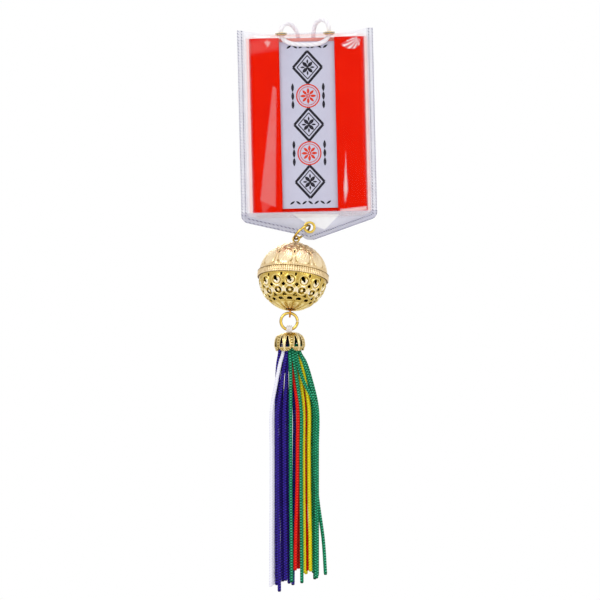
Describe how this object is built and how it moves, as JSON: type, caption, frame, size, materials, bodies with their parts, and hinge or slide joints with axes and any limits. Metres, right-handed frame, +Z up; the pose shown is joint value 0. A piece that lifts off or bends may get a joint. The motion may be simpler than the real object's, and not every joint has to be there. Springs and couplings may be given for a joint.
{
  "type": "omamori charm",
  "caption": "Hanging charm: a clear sleeve with a folded cloth packet, a looped cord, an openwork bell ball on a jump ring and a multicoloured tassel.",
  "frame": {"origin": "midway between the two top eyelets, in the plane of the sleeve's roof strip", "axes": "+Z up along the sleeve, +X to the right seen from the front, and the front faces -Y"},
  "size_m": [0.0584, 0.0303, 0.2455],
  "materials": {
    "clear_vinyl": "clear soft vinyl sheet, slightly milky, with a pressed weld line",
    "red_cloth": "fine orange-red woven cloth",
    "card": "plain pressed card",
    "white_satin": "white satin weave with a woven pattern",
    "gilt_brass": "bright gilt, polished on the rims",
    "white_cord": "twisted white cord",
    "white_thread": "white thread",
    "strand_white": "braided thread",
    "strand_purple": "braided thread",
    "strand_scarlet": "braided thread",
    "strand_yellow": "braided thread",
    "strand_green": "braided thread"
  },
  "bodies": {
    "root": {"sleeve_front_sheet": "clear_vinyl", "sleeve_back_sheet": "clear_vinyl", "top_eyelet_left": "gilt_brass", "top_washer_left": "gilt_brass", "top_eyelet_right": "gilt_brass", "top_washer_right": "gilt_brass", "tip_eyelet": "gilt_brass", "tip_washer": "gilt_brass", "card_core": "card", "packet_wrapper": "red_cloth", "front_strip": "white_satin", "cord_front": "white_cord", "cord_left": "white_cord", "cord_right": "white_cord", "cord_knot": "white_cord"},
    "upper_ring": {"upper_ring": "gilt_brass"},
    "ball": {"ball_upper_shell": "gilt_brass", "ball_lower_shell": "gilt_brass", "ball_band": "gilt_brass", "ball_top_eye": "gilt_brass", "ball_bottom_eye": "gilt_brass"},
    "inner_bell": {"bell_body": "gilt_brass"},
    "pellet": {"bell_pellet": "gilt_brass"},
    "lower_ring": {"lower_ring": "gilt_brass"},
    "tassel": {"tassel_cap": "gilt_brass", "tassel_thread": "white_thread", "tassel_binding": "white_thread", "strand_01_purple": "strand_purple", "strand_02_white": "strand_white", "strand_03_purple": "strand_purple", "strand_04_green": "strand_green", "strand_05_green": "strand_green", "strand_06_green": "strand_green", "strand_07_green": "strand_green", "strand_08_white": "strand_white", "strand_09_purple": "strand_purple", "strand_10_purple": "strand_purple", "strand_11_scarlet": "strand_scarlet", "strand_12_yellow": "strand_yellow", "strand_13_yellow": "strand_yellow", "strand_14_purple": "strand_purple", "strand_15_white": "strand_white", "strand_16_purple": "strand_purple", "strand_17_green": "strand_green", "strand_18_scarlet": "strand_scarlet", "strand_19_green": "strand_green", "strand_20_purple": "strand_purple", "strand_21_scarlet": "strand_scarlet", "strand_22_white": "strand_white", "strand_23_yellow": "strand_yellow", "strand_24_green": "strand_green"}
  },
  "joints": [
    {"name": "upper_ring_swing", "type": "hinge", "parent": "root", "child": "upper_ring", "pos_m": [0, 0, -0.0832], "axis": [0, 1, 0], "range_deg": [-53, 0]},
    {"name": "ball_swing", "type": "hinge", "parent": "upper_ring", "child": "ball", "pos_m": [-0.0059, 0, -0.0881], "axis": [0, 1, 0], "range_deg": [-4, 48]},
    {"name": "inner_bell_roll", "type": "hinge", "parent": "ball", "child": "inner_bell", "pos_m": [-0.00759, -0.00404, -0.10422], "axis": [0, 1, 0], "range_deg": [-60, 60]},
    {"name": "pellet_roll", "type": "hinge", "parent": "inner_bell", "child": "pellet", "pos_m": [-0.00759, -0.00404, -0.11102], "axis": [0, 1, 0], "range_deg": [-50, 50]},
    {"name": "lower_ring_swing", "type": "hinge", "parent": "ball", "child": "lower_ring", "pos_m": [-0.00924, -0.00796, -0.11985], "axis": [1, 0, 0], "range_deg": [-60, 60]},
    {"name": "tassel_swing", "type": "hinge", "parent": "lower_ring", "child": "tassel", "pos_m": [-0.00973, -0.00796, -0.12336], "axis": [0, 1, 0], "range_deg": [-45, 45]}
  ]
}
